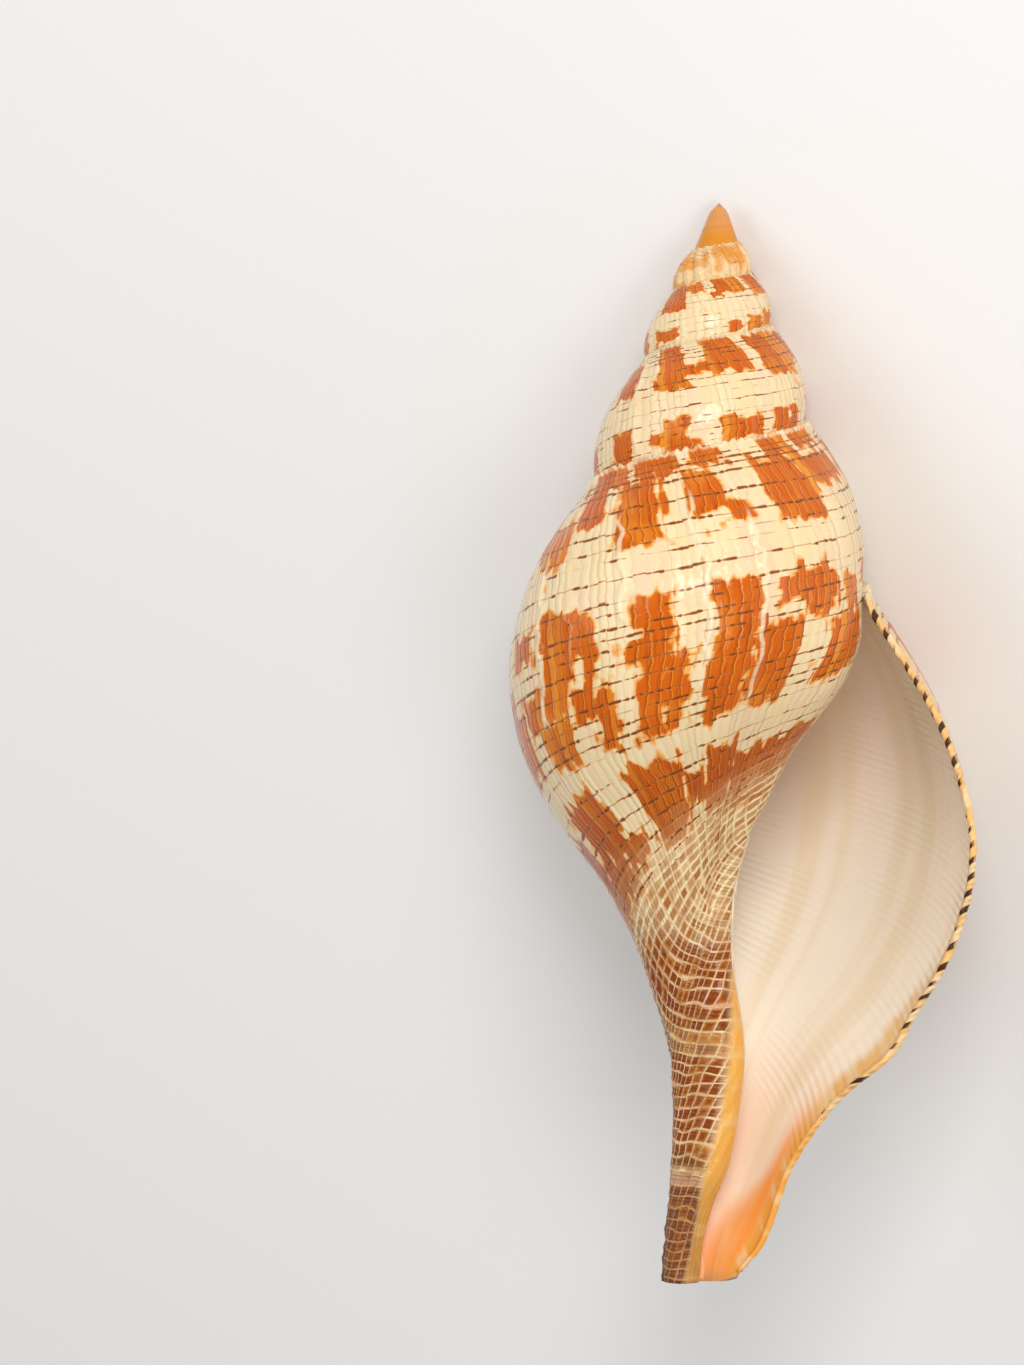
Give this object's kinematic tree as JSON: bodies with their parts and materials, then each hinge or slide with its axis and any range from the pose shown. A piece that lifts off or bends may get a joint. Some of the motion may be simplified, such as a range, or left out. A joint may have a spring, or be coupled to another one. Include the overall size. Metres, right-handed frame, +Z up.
{
  "type": "tulip shell",
  "caption": "Coiled spindle-shaped sea-snail shell with a tall spire, a wide open mouth and an open canal, lying on its back.",
  "frame": {"origin": "centre of the bounding box in X and Y, at the lowest point, on the surface that the shell lies on", "axes": "+Z up, out of the shell's mouth; +Y towards the pointed apex; +X towards the outer lip"},
  "size_m": [0.0662, 0.1406, 0.062],
  "materials": {
    "shell": "polished natural shell, cream with orange-brown blotches"
  },
  "bodies": {
    "root": {"shell": "shell"}
  },
  "joints": []
}
